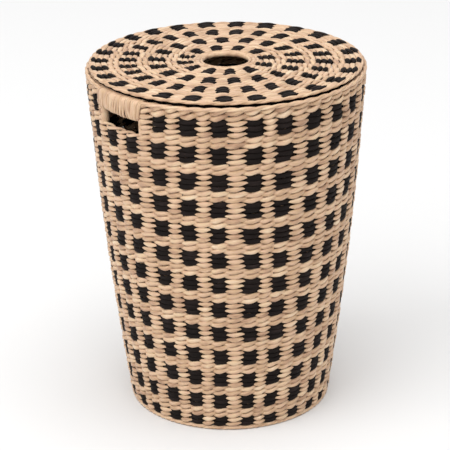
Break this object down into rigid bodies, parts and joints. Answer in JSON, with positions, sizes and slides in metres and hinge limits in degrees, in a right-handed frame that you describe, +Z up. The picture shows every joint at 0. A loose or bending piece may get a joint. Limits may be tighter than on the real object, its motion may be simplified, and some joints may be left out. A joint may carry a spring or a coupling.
{
  "type": "laundry hamper",
  "caption": "Round tapered woven laundry hamper with hand holes under bound grips and a flat lift-off lid with a finger hole.",
  "frame": {"origin": "middle of the footprint, on the floor", "axes": "+Z up along the hamper's axis; the two hand holes are at -X (left) and +X (right)"},
  "size_m": [0.455, 0.4542, 0.59],
  "materials": {
    "rope": "twisted natural plant fibre rope, with dark stitches in a chequered pattern",
    "frame_wire": "dark coated steel wire"
  },
  "bodies": {
    "basket": {"rim_hoop": "frame_wire", "foot_hoop": "frame_wire", "base_ring": "frame_wire", "upright_01": "frame_wire", "upright_02": "frame_wire", "upright_03": "frame_wire", "upright_04": "frame_wire", "upright_05": "frame_wire", "upright_06": "frame_wire", "upright_07": "frame_wire", "upright_08": "frame_wire", "upright_09": "frame_wire", "upright_10": "frame_wire", "upright_11": "frame_wire", "upright_12": "frame_wire", "upright_13": "frame_wire", "upright_14": "frame_wire", "upright_15": "frame_wire", "upright_16": "frame_wire", "upright_17": "frame_wire", "upright_18": "frame_wire", "base_spoke_01": "frame_wire", "base_spoke_02": "frame_wire", "base_spoke_03": "frame_wire", "base_spoke_04": "frame_wire", "base_spoke_05": "frame_wire", "base_spoke_06": "frame_wire", "grip_rail_left": "frame_wire", "grip_rail_right": "frame_wire", "sill_rail_left": "frame_wire", "sill_rail_right": "frame_wire", "side_weave": "rope", "base_weave": "rope", "foot_border": "rope", "rim_border_front": "rope", "rim_border_back": "rope", "grip_wrap_left": "rope", "grip_wrap_right": "rope", "opening_binding_left": "rope", "opening_binding_right": "rope"},
    "lid": {"lid_rim_hoop": "frame_wire", "lid_hole_hoop": "frame_wire", "lid_lip_hoop": "frame_wire", "lid_spoke_01": "frame_wire", "lid_spoke_02": "frame_wire", "lid_spoke_03": "frame_wire", "lid_spoke_04": "frame_wire", "lid_spoke_05": "frame_wire", "lid_spoke_06": "frame_wire", "lid_spoke_07": "frame_wire", "lid_spoke_08": "frame_wire", "lid_spoke_09": "frame_wire", "lid_spoke_10": "frame_wire", "lid_spoke_11": "frame_wire", "lid_spoke_12": "frame_wire", "lid_weave": "rope", "lid_rim_border": "rope", "lid_hole_border": "rope", "lid_lip_wrap": "rope"}
  },
  "joints": [
    {"name": "lid_lift", "type": "slide", "parent": "basket", "child": "lid", "axis": [0, 0, 1], "range_m": [0, 0.3]}
  ]
}
